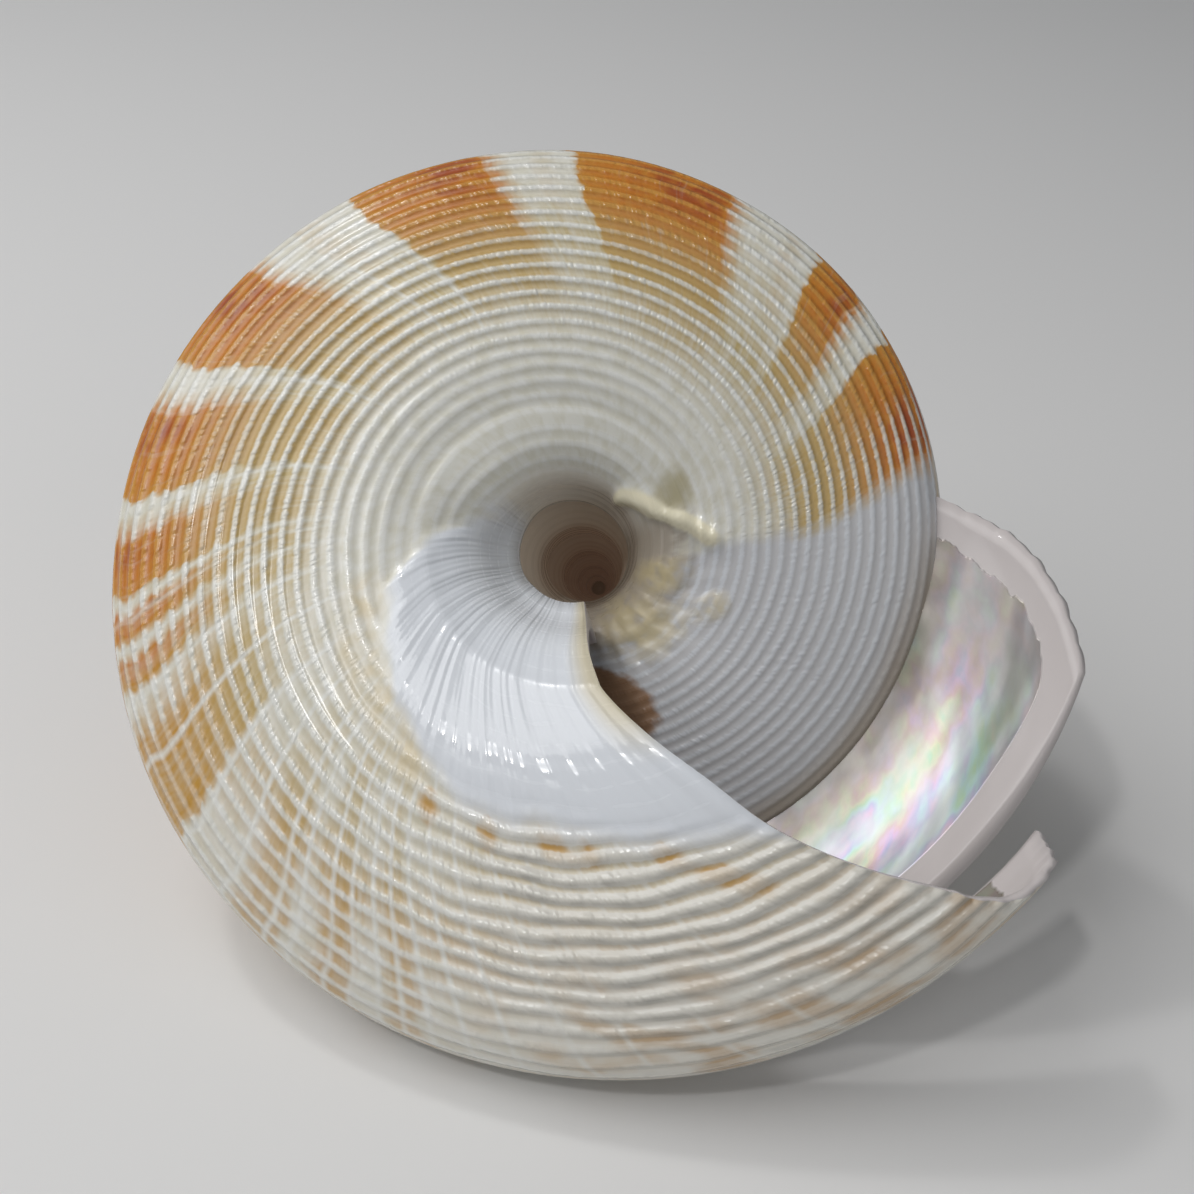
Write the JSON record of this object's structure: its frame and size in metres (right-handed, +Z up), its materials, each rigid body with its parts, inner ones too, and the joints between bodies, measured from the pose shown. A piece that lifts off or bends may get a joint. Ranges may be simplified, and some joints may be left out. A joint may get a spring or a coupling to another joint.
{
  "type": "slit shell",
  "caption": "Conical sea snail shell with corded whorls, a deep open umbilicus, a flared aperture and a narrow slit in its outer lip, lying on its side.",
  "frame": {"origin": "centre of the bounding box on the table that the shell lies on", "axes": "+Z up, -Y the side that the base and the aperture face, +X along the longest extent, towards the lip"},
  "size_m": [0.089, 0.075, 0.0601],
  "materials": {
    "shell": "glossy cream shell with rust-orange flames, pearly inside the aperture"
  },
  "bodies": {
    "root": {"shell": "shell"}
  },
  "joints": []
}
